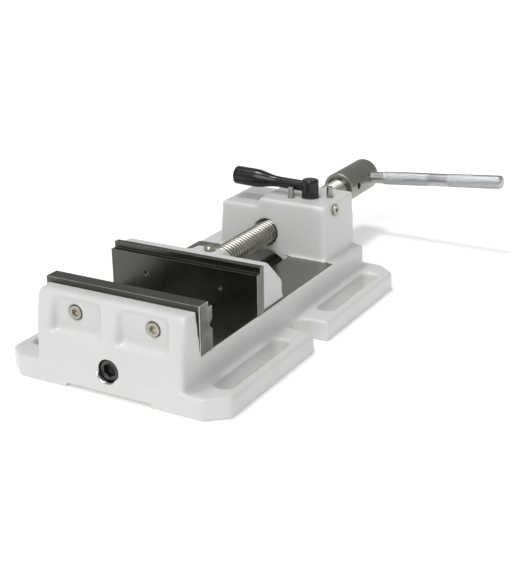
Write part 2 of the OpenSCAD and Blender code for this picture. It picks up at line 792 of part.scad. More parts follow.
module spindle() {
    thread_x0 = boss_rear_x + 2;
    thread_x1 = hub_x + 5;
    seat_x1 = hub_x + hub_recess + hub_seat_l;
    color([0.66, 0.65, 0.6]) {
        along_x(journal_nose_x + 0.2, 0, axis_z, journal_d, groove_x - groove_w / 2 - journal_nose_x - 0.2);
        along_x(groove_x - groove_w / 2, 0, axis_z, groove_d, groove_w);
        along_x(groove_x + groove_w / 2, 0, axis_z, journal_d, thread_x0 - groove_x - groove_w / 2);
        along_x(thread_x0, 0, axis_z, spindle_d, thread_x1 - thread_x0);
        along_x(thread_x1, 0, axis_z, hub_seat_d, seat_x1 - thread_x1);
    }
}

// Frame of the handle bar: +X out along the bar, from the spindle's axis
module bar_frame() {
    translate([bar_x, 0, axis_z]) rotate([-bar_tilt, 0, 0]) rotate([0, 0, -90]) children();
}

module crank_hub() {
    color([0.44, 0.44, 0.4]) difference() {
        union() {
            translate([hub_x, 0, axis_z]) rotate([0, 90, 0]) {
                cylinder(d1 = hub_d - 3, d2 = hub_d, h = 1.5);
                translate([0, 0, 1.5]) cylinder(d = hub_d, h = hub_l - 3.5);
                translate([0, 0, hub_l - 2]) cylinder(d1 = hub_d, d2 = hub_d - 4, h = 2);
            }
        }
        along_x(hub_x - 1, 0, axis_z, hub_recess_d, hub_recess + 1);
        along_x(hub_x, 0, axis_z, hub_seat_d + 2 * seat_gap, hub_recess + hub_seat_l + 1);
        bar_frame() along_x(-9, 0, 0, neck_d + 2 * seat_gap, hub_d);
        set_screw_frame() cylinder(d = set_screw_d + 2 * seat_gap, h = hub_d);
    }
}

module set_screw_frame() {
    translate([set_screw_x, 0, axis_z]) rotate([90 - set_screw_angle, 0, 0])
        translate([0, 0, hub_seat_d / 2 + 0.1]) children();
}

module crank_set_screw() {
    color([0.15, 0.15, 0.15]) set_screw_frame() difference() {
        cylinder(d = set_screw_d, h = 9);
        translate([0, 0, 4]) cylinder(r = 2.5 / cos(30), h = 6, $fn = 6);
    }
}

module handle_bar() {
    color([0.78, 0.79, 0.8]) bar_frame() {
        along_x(-8, 0, 0, neck_d, neck_end + 8);
        along_x(neck_end, 0, 0, bar_d, grip1_end - neck_end);
        along_x(grip1_end, 0, 0, bar_d - 0.6, grip2_start - grip1_end);
        along_x(grip2_start, 0, 0, bar_d, bar_reach - 3 - grip2_start);
        translate([bar_reach - 3, 0, 0]) rotate([0, 90, 0]) cylinder(d1 = bar_d, d2 = bar_d - 4, h = 3);
    }
}

base_casting();
fixed_jaw_plate();
fixed_jaw_screws();
guide_rod();
guide_rod_screw();
stop_pins();
cam_retaining_screw();
nut_springs();
nut_cover();
nut_cover_screws();
half_nut();
cam_shaft();
lever_hub();
lever_arm();
lever_grip();
lever_grub_screw();
movable_jaw();
movable_jaw_plate();
movable_jaw_screws();
spindle_keeper_screw();
thrust_disc();
spindle();
crank_hub();
crank_set_screw();
handle_bar();
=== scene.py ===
import json
import math

import bmesh
import bpy
import numpy as np
from mathutils import Matrix, Vector


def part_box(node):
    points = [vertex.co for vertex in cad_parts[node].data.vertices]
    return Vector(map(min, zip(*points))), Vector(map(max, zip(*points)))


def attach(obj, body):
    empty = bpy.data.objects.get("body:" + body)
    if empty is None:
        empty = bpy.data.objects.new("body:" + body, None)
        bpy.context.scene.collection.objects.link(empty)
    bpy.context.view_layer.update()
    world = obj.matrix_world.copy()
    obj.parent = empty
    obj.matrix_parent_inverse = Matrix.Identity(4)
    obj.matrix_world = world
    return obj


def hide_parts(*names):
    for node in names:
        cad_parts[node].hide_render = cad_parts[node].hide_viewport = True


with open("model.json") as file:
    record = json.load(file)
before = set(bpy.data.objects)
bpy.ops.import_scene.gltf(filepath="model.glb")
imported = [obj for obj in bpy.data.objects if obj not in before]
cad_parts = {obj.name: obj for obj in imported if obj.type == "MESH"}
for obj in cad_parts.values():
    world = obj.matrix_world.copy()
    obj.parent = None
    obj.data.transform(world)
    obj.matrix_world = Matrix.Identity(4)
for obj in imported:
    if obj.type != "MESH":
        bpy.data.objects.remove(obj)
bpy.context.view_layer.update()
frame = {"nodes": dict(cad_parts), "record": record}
nodes = frame["nodes"]
MM = 0.001

# Millimetres, as in the part's source
COVER_BEHIND_HOUSING = 7.5   # from the housing's front foot to the bay cover
SPINDLE_Z = 82
ROD_Z = 30
PLATE_SCREW_Y = 51           # the plates' screws lie this far to each side of the spindle
PLATE_SCREW_Z = 83

# ---------------------------------------------------------------- camera, floor and light

CAMERA_PLACE = (-1.1687, -0.72705, 0.58736)
CAMERA_AZIMUTH = 29.794   # direction of sight in the ground plane, from +X towards +Y
CAMERA_DROP = 21.663      # degrees that the line of sight falls
CAMERA_ROLL = -0.867
CAMERA_LENS = 74.27


def make_camera():
    """Puts the camera at CAMERA_PLACE, looking along azimuth and drop, turned about its own line of sight."""
    a, e, roll = map(math.radians, (CAMERA_AZIMUTH, CAMERA_DROP, CAMERA_ROLL))
    sight = Vector((math.cos(e) * math.cos(a), math.cos(e) * math.sin(a), -math.sin(e)))
    level = sight.cross(Vector((0, 0, 1))).normalized()
    above = level.cross(sight)
    right = level * math.cos(roll) + above * math.sin(roll)
    up = above * math.cos(roll) - level * math.sin(roll)
    data = bpy.data.cameras.new("camera")
    data.lens = CAMERA_LENS
    data.sensor_width = 36
    cam = bpy.data.objects.new("camera", data)
    bpy.context.scene.collection.objects.link(cam)
    cam.matrix_world = Matrix((
        (right.x, up.x, -sight.x, CAMERA_PLACE[0]),
        (right.y, up.y, -sight.y, CAMERA_PLACE[1]),
        (right.z, up.z, -sight.z, CAMERA_PLACE[2]),
        (0, 0, 0, 1)))
    bpy.context.scene.camera = cam


def broad_light(name, azimuth, height, strength, spread):
    """A far, broad lamp that shines evenly: from azimuth (from +X towards +Y) and height, in degrees."""
    data = bpy.data.lights.new(name, "SUN")
    data.energy = strength * math.pi
    data.angle = math.radians(spread)
    lamp = bpy.data.objects.new(name, data)
    bpy.context.scene.collection.objects.link(lamp)
    a, e = math.radians(azimuth), math.radians(height)
    towards = -Vector((math.cos(e) * math.cos(a), math.cos(e) * math.sin(a), math.sin(e)))
    lamp.rotation_euler = towards.to_track_quat("-Z", "Y").to_euler()


def make_stage():
    """A plain pale floor, three broad lamps and an even pale sky."""
    broad_light("overhead_lamp", 100, 78, 0.36, 14)
    broad_light("front_lamp", 182, 40, 0.43, 40)
    broad_light("side_lamp", 255, 30, 0.06, 50)
    world = bpy.data.worlds.new("sky")
    world.use_nodes = True
    sky = world.node_tree.nodes["Background"]
    sky.inputs["Color"].default_value = (1, 1, 1, 1)
    sky.inputs["Strength"].default_value = 0.40
    bpy.context.scene.world = world
    half = 30.0
    corners = [(-half, -half, 0), (half, -half, 0), (half, half, 0), (-half, half, 0)]
    mesh = bpy.data.meshes.new("floor")
    mesh.from_pydata(corners, [], [(0, 1, 2, 3)])
    floor = bpy.data.objects.new("floor", mesh)
    bpy.context.scene.collection.objects.link(floor)
    pale = bpy.data.materials.new("pale_floor")
    pale.use_nodes = True
    shader = pale.node_tree.nodes["Principled BSDF"]
    shader.inputs["Base Color"].default_value = (0.93, 0.93, 0.93, 1)
    shader.inputs["Roughness"].default_value = 0.95
    shader.inputs["Specular IOR Level"].default_value = 0.0
    shader.inputs["Emission Color"].default_value = (1, 1, 1, 1)
    shader.inputs["Emission Strength"].default_value = 0.18
    mesh.materials.append(pale)
    floor.location.z = -0.0002
    bpy.context.scene.view_settings.view_transform = "Standard"


# ---------------------------------------------------------------- materials

class Finish:
    """A material under construction: short calls that add nodes to its tree."""

    def __init__(self, name, **sockets):
        self.material = bpy.data.materials.new(name)
        self.material.use_nodes = True
        self.tree = self.material.node_tree
        self.shader = self.tree.nodes["Principled BSDF"]
        for key, value in sockets.items():
            self.shader.inputs[key.replace("_", " ")].default_value = value
        self.place = self.node("ShaderNodeTexCoord").outputs["Object"]

    def node(self, kind, **values):
        made = self.tree.nodes.new(kind)
        for key, value in values.items():
            setattr(made, key, value)
        return made

    def join(self, source, socket):
        self.tree.links.new(source, socket)

    def feed(self, socket, value):
        if isinstance(value, (int, float)):
            socket.default_value = value
        else:
            self.join(value, socket)

    def maths(self, operation, a, b=0.0, clamp=False):
        made = self.node("ShaderNodeMath", operation=operation, use_clamp=clamp)
        self.feed(made.inputs[0], a)
        self.feed(made.inputs[1], b)
        return made.outputs[0]

    def axes(self, source=None):
        """The three coordinates of a place as separate outputs."""
        made = self.node("ShaderNodeSeparateXYZ")
        self.join(source or self.place, made.inputs[0])
        return made.outputs

    def stretched(self, scale):
        made = self.node("ShaderNodeMapping")
        self.join(self.place, made.inputs["Vector"])
        made.inputs["Scale"].default_value = scale
        return made.outputs[0]

    def noise(self, scale, detail=3.0, rough=0.5, vector=None):
        made = self.node("ShaderNodeTexNoise")
        self.join(vector or self.place, made.inputs["Vector"])
        made.inputs["Scale"].default_value = scale
        made.inputs["Detail"].default_value = detail
        made.inputs["Roughness"].default_value = rough
        return made.outputs[0]

    def range(self, value, low, high, out_low, out_high):
        """value from low..high to out_low..out_high, held at the ends."""
        made = self.node("ShaderNodeMapRange")
        self.join(value, made.inputs["Value"])
        ends = {"From Min": low, "From Max": high, "To Min": out_low, "To Max": out_high}
        for key, number in ends.items():
            made.inputs[key].default_value = number
        return made.outputs[0]

    def blend(self, factor, first, second):
        """first where factor is 0, second where it is 1; either may be a colour or an output."""
        made = self.node("ShaderNodeMix", data_type="RGBA")
        self.feed(made.inputs["Factor"], factor)
        for socket, value in ((made.inputs["A"], first), (made.inputs["B"], second)):
            if isinstance(value, tuple):
                socket.default_value = (*value, 1)
            else:
                self.join(value, socket)
        return made.outputs["Result"]

    def mix(self, factor, first, second):
        made = self.node("ShaderNodeMix", data_type="FLOAT")
        self.feed(made.inputs["Factor"], factor)
        self.feed(made.inputs["A"], first)
        self.feed(made.inputs["B"], second)
        return made.outputs["Result"]

    def bump(self, height, distance, strength=1.0):
        made = self.node("ShaderNodeBump")
        made.inputs["Strength"].default_value = strength
        made.inputs["Distance"].default_value = distance
        self.join(height, made.inputs["Height"])
        self.join(made.outputs[0], self.shader.inputs["Normal"])

    def within(self, value, low, high, edge=0.0002):
        """1 where value lies between low and high, with a soft edge."""
        up = self.range(value, low - edge, low + edge, 0.0, 1.0)
        down = self.range(value, high - edge, high + edge, 1.0, 0.0)
        return self.maths("MULTIPLY", up, down)


# Metres, where the base is bare iron
GROUND_HALF_WIDTH = 0.0992   # half the width of the ground slideways
RIM_RADIUS = 0.0152          # of the bare rim round the front recess
RIM_DEPTH = 0.030            # how far back from the cap screw's face that rim may lie


def enamel(f, bare, iron):
    """Pale satin enamel of the castings, with bare iron of colour iron where bare is 1."""
    cloud = f.range(f.noise(9.0, 4.0), 0.35, 0.65, 0.0, 1.0)
    paint = f.blend(cloud, (0.600, 0.605, 0.590), (0.630, 0.634, 0.620))
    f.join(f.blend(bare, paint, iron), f.shader.inputs["Base Color"])
    f.join(bare, f.shader.inputs["Metallic"])


def casting_paint():
    """Enamel of the base, with bare ground iron on the slideways and a bare rim in the front recess."""
    f = Finish("pale_enamel", Coat_Weight=0.25, Coat_Roughness=0.2)
    x, y, z = f.axes()
    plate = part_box("fixed_jaw_plate")
    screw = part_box("guide_rod_screw")
    way_z = plate[0].z
    housing_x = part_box("nut_cover")[0].x - COVER_BEHIND_HOUSING * MM
    ahead = f.within(x, plate[0].x, housing_x)
    broad = f.maths("LESS_THAN", f.maths("ABSOLUTE", y), GROUND_HALF_WIDTH)
    level = f.within(z, way_z - 0.0008, way_z + 0.0004)
    ways = f.maths("MULTIPLY", f.maths("MULTIPLY", ahead, broad), level)
    above = f.maths("SUBTRACT", z, (screw[0].z + screw[1].z) / 2)
    square = f.maths("ADD", f.maths("MULTIPLY", y, y), f.maths("MULTIPLY", above, above))
    off_axis = f.maths("SQRT", square)
    near = f.maths("LESS_THAN", off_axis, RIM_RADIUS)
    rim = f.maths("MULTIPLY", near, f.maths("LESS_THAN", x, screw[0].x + RIM_DEPTH))
    bare = f.maths("MAXIMUM", ways, rim)
    scratch = f.range(f.noise(60.0, 5.0, 0.65, f.stretched((1.0, 14.0, 1.0))), 0.3, 0.7, 0.0, 1.0)
    ground = f.blend(scratch, (0.165, 0.165, 0.15), (0.23, 0.23, 0.21))
    enamel(f, bare, f.blend(rim, ground, (0.62, 0.62, 0.60)))
    satin = f.range(f.noise(60.0, 2.0), 0.3, 0.7, 0.33, 0.42)
    f.join(f.mix(bare, satin, f.range(scratch, 0.0, 1.0, 0.20, 0.26)), f.shader.inputs["Roughness"])
    f.bump(f.mix(bare, f.noise(70.0, 2.0), f.maths("MULTIPLY", scratch, 0.2)), 0.00008, 0.25)
    return f.material


def jaw_casting_paint():
    """The same enamel on the movable jaw, with bare iron on its foot and the tongue below it."""
    f = Finish("pale_enamel_jaw", Coat_Weight=0.25, Coat_Roughness=0.2)
    z = f.axes()[2]
    bare = f.maths("LESS_THAN", z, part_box("movable_jaw_plate")[0].z + 0.0002)
    scratch = f.range(f.noise(60.0, 5.0, 0.65, f.stretched((1.0, 14.0, 1.0))), 0.3, 0.7, 0.0, 1.0)
    enamel(f, bare, f.blend(scratch, (0.13, 0.13, 0.11), (0.24, 0.24, 0.21)))
    f.join(f.range(f.noise(60.0, 2.0), 0.3, 0.7, 0.33, 0.42), f.shader.inputs["Roughness"])
    f.bump(f.noise(70.0, 2.0), 0.00008, 0.25)
    return f.material


def ground_steel(name, dark, light, roughness, grain):
    """Steel with fine lines from grinding or turning. grain is the stretch of the noise along X, Y and Z,
    and the lines run along its small values."""
    f = Finish(name, Metallic=1.0)
    lines = f.noise(70.0, 6.0, 0.7, f.stretched(grain))
    cloud = f.noise(14.0, 4.0)
    tone = f.maths("ADD", f.maths("MULTIPLY", lines, 0.55), f.maths("MULTIPLY", cloud, 0.45))
    f.join(f.blend(f.range(tone, 0.36, 0.64, 0.0, 1.0), dark, light), f.shader.inputs["Base Color"])
    f.join(f.range(tone, 0.35, 0.65, roughness[0], roughness[1]), f.shader.inputs["Roughness"])
    f.bump(lines, 0.00003, 0.5)
    return f.material


def jaw_plate_finish():
    """Dark ground steel with fine lines; the sawn end faces are lighter and mottled."""
    f = Finish("ground_jaw_steel", Metallic=1.0)
    y = f.axes()[1]
    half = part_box("fixed_jaw_plate")[1].y
    end = f.maths("GREATER_THAN", f.maths("ABSOLUTE", y), half - 0.0004)
    lines = f.noise(70.0, 6.0, 0.7, f.stretched((0.6, 0.6, 12.0)))
    across = f.noise(70.0, 6.0, 0.7, f.stretched((12.0, 0.5, 0.5)))
    cloud = f.noise(16.0, 5.0, 0.6)
    ground = f.maths("MULTIPLY", f.maths("MAXIMUM", lines, across), 0.4)
    tone = f.maths("ADD", ground, f.maths("MULTIPLY", cloud, 0.6))
    face = f.blend(f.range(tone, 0.38, 0.68, 0.0, 1.0), (0.088, 0.090, 0.082), (0.120, 0.122, 0.108))
    mottle = f.range(f.noise(38.0, 3.0, 0.5), 0.4, 0.66, 0.0, 1.0)
    sawn = f.blend(mottle, (0.125, 0.126, 0.112), (0.24, 0.24, 0.22))
    f.join(f.blend(end, face, sawn), f.shader.inputs["Base Color"])
    f.join(f.mix(end, f.range(tone, 0.35, 0.65, 0.26, 0.36), 0.45), f.shader.inputs["Roughness"])
    f.bump(f.mix(end, lines, cloud), 0.00003, 0.5)
    return f.material


def black_gloss(name, colour, roughness):
    """Black enamel or moulded plastic: a slight haze, and dust-fine bumps."""
    f = Finish(name, Coat_Weight=0.2, Coat_Roughness=0.12, Specular_IOR_Level=0.35)
    cloud = f.noise(40.0, 4.0)
    shade = f.blend(f.range(cloud, 0.35, 0.65, 0.0, 1.0), colour, tuple(c * 1.6 for c in colour))
    f.join(shade, f.shader.inputs["Base Color"])
    f.join(f.range(cloud, 0.3, 0.7, roughness, roughness + 0.12), f.shader.inputs["Roughness"])
    f.bump(f.noise(300.0, 2.0), 0.00005, 0.3)
    return f.material


TURNED = (16.0, 0.6, 0.6)    # rings round X

# Steels: name, dark and light colour, range of roughness, stretch of the grinding lines
STEELS = {
    # The first row is a much lighter steel for the jaw plates' bevelled edges. It is a painted highlight
    # along those edges.
    "highlight_edge": ("highlight_edge_steel", (0.55, 0.55, 0.52), (0.80, 0.80, 0.76), (0.18, 0.30), (9, 1, 9)),
    "bright_screws": ("zinc_screw_steel", (0.30, 0.28, 0.24), (0.52, 0.49, 0.43), (0.22, 0.38), (2, 2, 2)),
    "black_screws": ("black_oxide", (0.05, 0.05, 0.052), (0.11, 0.11, 0.115), (0.3, 0.5), (2, 2, 2)),
    "hardened_steel": ("hardened_steel", (0.26, 0.26, 0.25), (0.46, 0.46, 0.44), (0.22, 0.4), (3, 3, 9)),
    "ground_rod_steel": ("ground_rod_steel", (0.38, 0.38, 0.36), (0.58, 0.58, 0.55), (0.15, 0.28), (9, 1, 1)),
    "spring_steel": ("spring_steel", (0.25, 0.25, 0.26), (0.5, 0.5, 0.5), (0.25, 0.4), (2, 2, 2)),
    "half_nut_iron": ("half_nut_iron", (0.12, 0.12, 0.11), (0.28, 0.27, 0.25), (0.4, 0.6), (2, 2, 8)),
    "spindle_steel": ("turned_spindle_steel", (0.25, 0.243, 0.21), (0.56, 0.55, 0.50), (0.22, 0.36), TURNED),
    "crank_hub_steel": ("turned_hub_steel", (0.25, 0.25, 0.215), (0.36, 0.36, 0.315), (0.30, 0.44), TURNED),
    "plated_bar": ("plated_bar_steel", (0.43, 0.44, 0.45), (0.50, 0.51, 0.53), (0.30, 0.36), (1, 1, 1)),
}


def make_finishes():
    """Every finish by its key, which is the piece's material slot except for jaw_paint and highlight_edge."""
    made = {
        "painted_casting": casting_paint(),
        "jaw_paint": jaw_casting_paint(),
        "jaw_plate_steel": jaw_plate_finish(),
    }
    for key, steel in STEELS.items():
        made[key] = ground_steel(*steel)
    made["black_lever"] = black_gloss("black_lever_enamel", (0.006, 0.006, 0.007), 0.24)
    made["black_grip"] = black_gloss("black_grip_plastic", (0.004, 0.004, 0.005), 0.20)
    return made


# ---------------------------------------------------------------- shapes

def add_piece(name, points, faces, body, finish, smooth_angle=35.0):
    """A mesh object from arrays, shaded smooth up to smooth_angle, riding on body."""
    mesh = bpy.data.meshes.new(name)
    mesh.from_pydata(points.tolist() if hasattr(points, "tolist") else points, [], faces)
    mesh.validate()
    made = bpy.data.objects.new(name, mesh)
    bpy.context.scene.collection.objects.link(made)
    settle(made, smooth_angle)
    mesh.materials.append(finish)
    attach(made, body)
    return made


def settle(made, smooth_angle):
    """Merges doubles, turns the faces outward and shades them smooth up to an angle."""
    edit = bmesh.new()
    edit.from_mesh(made.data)
    bmesh.ops.remove_doubles(edit, verts=edit.verts, dist=1e-6)
    bmesh.ops.recalc_face_normals(edit, faces=edit.faces)
    edit.to_mesh(made.data)
    edit.free()
    made.data.shade_smooth()
    made.data.set_sharp_from_angle(angle=math.radians(smooth_angle))


def ring_faces(rings, sides):
    """Faces between rings of points, ring after ring, each ring closed on itself."""
    i = np.arange(rings - 1)[:, None]
    j = np.arange(sides)[None, :]
    after = (j + 1) % sides
    square = [i * sides + j, i * sides + after, (i + 1) * sides + after, (i + 1) * sides + j]
    return np.stack(square, -1).reshape(-1, 4).tolist()


def capped_faces(rings, sides):
    """The same, with a flat face over the first ring and over the last."""
    last = (rings - 1) * sides
    return ring_faces(rings, sides) + [list(range(sides)), [last + k for k in range(sides)]]


def lathe(profile, axis_place, axis, sides=64):
    """Closed turned shape. A point at distance s along the axis and radius r goes to
    place + s*axis + r*(cos t * u + sin t * v), with t round the circle. Ends with r = 0 close."""
    s, r = np.array(profile, float).T * MM
    w = np.array(axis, float) / np.linalg.norm(axis)
    u = np.array((0, 0, 1) if abs(w[2]) < 0.9 else (1, 0, 0), float)
    u -= w * (u @ w)
    u /= np.linalg.norm(u)
    v = np.cross(w, u)
    t = np.linspace(0, 2 * np.pi, sides, endpoint=False)
    ring = np.cos(t)[:, None] * u + np.sin(t)[:, None] * v
    points = np.array(axis_place) + s[:, None, None] * w + r[:, None, None] * ring
    return points.reshape(-1, 3), ring_faces(len(s), sides)


def join_shapes(*shapes):
    """Several point and face lists as one."""
    points, faces, start = [], [], 0
    for p, f in shapes:
        points.append(p)
        faces += [[k + start for k in face] for face in f]
        start += len(p)
    return np.concatenate(points), faces


def bevelled_copy(node, body, finish, width, edge=None, segments=2, angle=30.0):
    """A merged copy of a CAD node with a small bevel on its edges, in the finish edge if one is given; for
    the jaw plates that is a lighter steel, a painted highlight along their edges.
    """
    source = nodes[node]
    mesh = source.data.copy()
    made = bpy.data.objects.new(node + "_finished", mesh)
    bpy.context.scene.collection.objects.link(made)
    edit = bmesh.new()
    edit.from_mesh(mesh)
    bmesh.ops.remove_doubles(edit, verts=edit.verts, dist=2e-6)
    bmesh.ops.dissolve_limit(edit, angle_limit=math.radians(1.0), verts=edit.verts, edges=edit.edges)
    edit.to_mesh(mesh)
    edit.free()
    rim = made.modifiers.new("broken_edges", "BEVEL")
    rim.width = width * MM
    rim.segments = segments
    rim.limit_method = "ANGLE"
    rim.angle_limit = math.radians(angle)
    rim.use_clamp_overlap = True
    mesh.shade_smooth()
    mesh.materials.clear()
    mesh.materials.append(finish)
    # The edge finish on the bevel faces paints a highlight along the edges.
    if edge:
        mesh.materials.append(edge)
        rim.material = 1
    even = made.modifiers.new("flat_faces_stay_flat", "WEIGHTED_NORMAL")
    even.weight = 100
    solid = bpy.data.meshes.new_from_object(made.evaluated_get(bpy.context.evaluated_depsgraph_get()))
    made.modifiers.clear()
    made.data = solid
    solid.name = made.name
    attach(made, body)
    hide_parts(node)
    return made


def soft_casting(node, body, finish, voxel, radius_field, rounds=60, most=190000):
    """A casting with rounded edges: the CAD node merged, remeshed to even squares and then smoothed.
    Each vertex moves towards the mean of its neighbours, rounds times, by half of (radius / largest radius)
    squared. So an edge is rounder where radius_field gives a larger value, and 0 leaves it as it is."""
    mesh = nodes[node].data.copy()
    made = bpy.data.objects.new(node + "_finished", mesh)
    bpy.context.scene.collection.objects.link(made)
    edit = bmesh.new()
    edit.from_mesh(mesh)
    bmesh.ops.remove_doubles(edit, verts=edit.verts, dist=2e-6)
    edit.to_mesh(mesh)
    edit.free()
    remesh = made.modifiers.new("even_squares", "REMESH")
    remesh.mode = "VOXEL"
    remesh.voxel_size = voxel * MM
    remesh.adaptivity = 0.0
    even = bpy.data.meshes.new_from_object(made.evaluated_get(bpy.context.evaluated_depsgraph_get()))
    made.modifiers.clear()
    made.data = even
    count = len(even.vertices)
    co = np.empty(count * 3)
    even.vertices.foreach_get("co", co)
    co = co.reshape(-1, 3)
    ends = np.empty(len(even.edges) * 2, np.int64)
    even.edges.foreach_get("vertices", ends)
    a, b = ends[0::2], ends[1::2]
    links = np.bincount(a, minlength=count) + np.bincount(b, minlength=count)
    radius = radius_field(co / MM)
    largest = radius.max()
    pace = 0.5 * (radius / largest) ** 2
    for _ in range(rounds):
        total = np.empty_like(co)
        for k in range(3):
            total[:, k] = (np.bincount(a, co[b, k], count) + np.bincount(b, co[a, k], count)) / links
        co += pace[:, None] * (total - co)
    even.vertices.foreach_set("co", co.ravel())
    even.update()
    thin = made.modifiers.new("fewer_triangles", "DECIMATE")
    thin.ratio = min(1.0, most / (2.0 * len(even.polygons)))
    final = bpy.data.meshes.new_from_object(made.evaluated_get(bpy.context.evaluated_depsgraph_get()))
    made.modifiers.clear()
    made.data = final
    final.name = made.name
    final.shade_smooth()
    final.materials.clear()
    final.materials.append(finish)
    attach(made, body)
    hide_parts(node)
    return made


def in_range(value, low, high):
    return (value > low) & (value < high)


def base_radius(p):
    """How round the base casting's edges are at places in millimetres: 0 is sharp, 5 the roundest."""
    x, y, z = p.T
    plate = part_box("fixed_jaw_plate")
    way_z, plate_x = plate[0].z / MM, plate[0].x / MM
    housing_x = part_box("nut_cover")[0].x / MM - COVER_BEHIND_HOUSING
    radius = np.full(len(p), 2.6)
    radius[(z > 40) & (x < plate_x - 3)] = 3.8
    radius[(z > way_z + 2) & (x > housing_x - 6)] = 2.8
    radius[in_range(x, housing_x - 4, housing_x + 12) & (y < -70) & (z > way_z + 4)] = 5.0
    radius[z < 6.0] = 1.2
    ways = in_range(z, way_z - 2.5, way_z + 1.0) & in_range(x, plate_x - 1, housing_x - 1)
    radius[ways & (np.abs(y) < 99.5)] = 0.0
    radius[in_range(x, plate_x - 2.5, plate_x + 2.5) & (z > way_z - 3)] = 1.0
    radius[(np.abs(y) < 36) & (z < way_z) & (x > plate_x + 20)] = 0.8
    radius[(np.hypot(y, z - ROD_Z) < 16) & (x < -190)] = 0.6
    radius[(np.hypot(y, z - SPINDLE_Z) < 19) & (x > housing_x - 3)] = 0.8
    return radius


def jaw_radius(p):
    """How round the movable jaw's edges are at places in millimetres."""
    x, y, z = p.T
    plate_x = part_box("movable_jaw_plate")[1].x / MM
    radius = np.full(len(p), 3.5)
    radius[x < plate_x + 2.5] = 1.0
    radius[z < 60] = 0.6
    for side in (-PLATE_SCREW_Y, PLATE_SCREW_Y):
        radius[np.hypot(y - side, z - PLATE_SCREW_Z) < 13] = 1.0
    radius[np.hypot(y, z - SPINDLE_Z) < 14] = 0.4
    return radius


# ---------------------------------------------------------------- spindle

# Millimetres; major and root are radii, crest and base half widths of the ridge at its top and its foot
THREAD_LEAD = 6.0
THREAD_MAJOR = 14.9
THREAD_ROOT = 11.55
THREAD_CREST = 1.05
THREAD_BASE = 2.05
THREAD_CHAMFER = 0.22
THREAD_FADE = 0.45           # turns over which the ridge rises from the core at each end
JOURNAL = 12                 # radius of the plain ends


def spindle_shape():
    """The core as a turned shape, and the thread as a ridge carried along a helix about the spindle's axis:
    x = start + lead * turns + offset, y = -r * sin(turn), z = axis + r * cos(turn), right-handed about +X."""
    low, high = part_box("spindle")
    axis_z = (low.z + high.z) / 2
    jaw_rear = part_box("movable_jaw")[1].x
    hub_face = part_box("crank_hub")[0].x
    x0, x1 = low.x / MM, high.x / MM
    front, rear = jaw_rear / MM + 2, hub_face / MM + 5
    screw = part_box("spindle_keeper_screw")
    groove = (screw[0].x + screw[1].x) / 2 / MM
    half, groove_r = 4.8, 10
    profile = [
        (x0, 0), (x0, JOURNAL - 1.2), (x0 + 1.2, JOURNAL), (groove - half, JOURNAL),
        (groove - half, groove_r), (groove + half, groove_r), (groove + half, JOURNAL),
        (front - 0.5, JOURNAL), (front, THREAD_ROOT),
        (rear, THREAD_ROOT), (rear, JOURNAL), (x1 - 1, JOURNAL), (x1, JOURNAL - 1), (x1, 0)]
    core = lathe(profile, (0, 0, axis_z), (1, 0, 0))
    steps_per_turn = 44
    turns = (rear - front - THREAD_LEAD) / THREAD_LEAD
    t = np.linspace(0, turns, int(turns * steps_per_turn) + 1)
    flat, shoulder = THREAD_CREST - THREAD_CHAMFER, THREAD_CREST + 0.02
    offset = np.array([-THREAD_BASE, -shoulder, -flat, flat, shoulder, THREAD_BASE])
    edge_r = THREAD_MAJOR - THREAD_CHAMFER
    crest_r = np.array([0, edge_r, THREAD_MAJOR, THREAD_MAJOR, edge_r, 0])
    fade = np.clip(np.minimum(t, turns - t) / THREAD_FADE, 0, 1)
    fade = fade * fade * (3 - 2 * fade)
    root = THREAD_ROOT - 0.35   # the ridge's foot is sunk into the core
    risen = root + (crest_r[None, :] - root) * np.maximum(fade[:, None], 0.02)
    r = np.where(crest_r[None, :] > 0, risen, root)
    x = front + THREAD_LEAD / 2 + THREAD_LEAD * t[:, None] + offset[None, :]
    angle = 2 * np.pi * t[:, None]
    points = np.stack([x * MM, -np.sin(angle) * r * MM, axis_z + np.cos(angle) * r * MM], -1).reshape(-1, 3)
    return join_shapes(core, (points, capped_faces(len(t), len(offset))))


# ---------------------------------------------------------------- handle bar

# Millimetres from the middle of the hub's cross bore along the bar, and the bar's widest radius
BAR_TILT = 5.4               # degrees that the bar rises at rest
BAR_FROM_HUB_END = 0.020     # metres from the hub's rear face to the cross bore
BAR_START, NECK_END, BAR_END = -8, 42.0, 221
KNURLS = ((NECK_END, 112.0), (142.0, 217.5))
TIP_START = 217.8
BAR_RADIUS = 9.45
KNURL_STARTS = 26
KNURL_DEPTH = 0.7


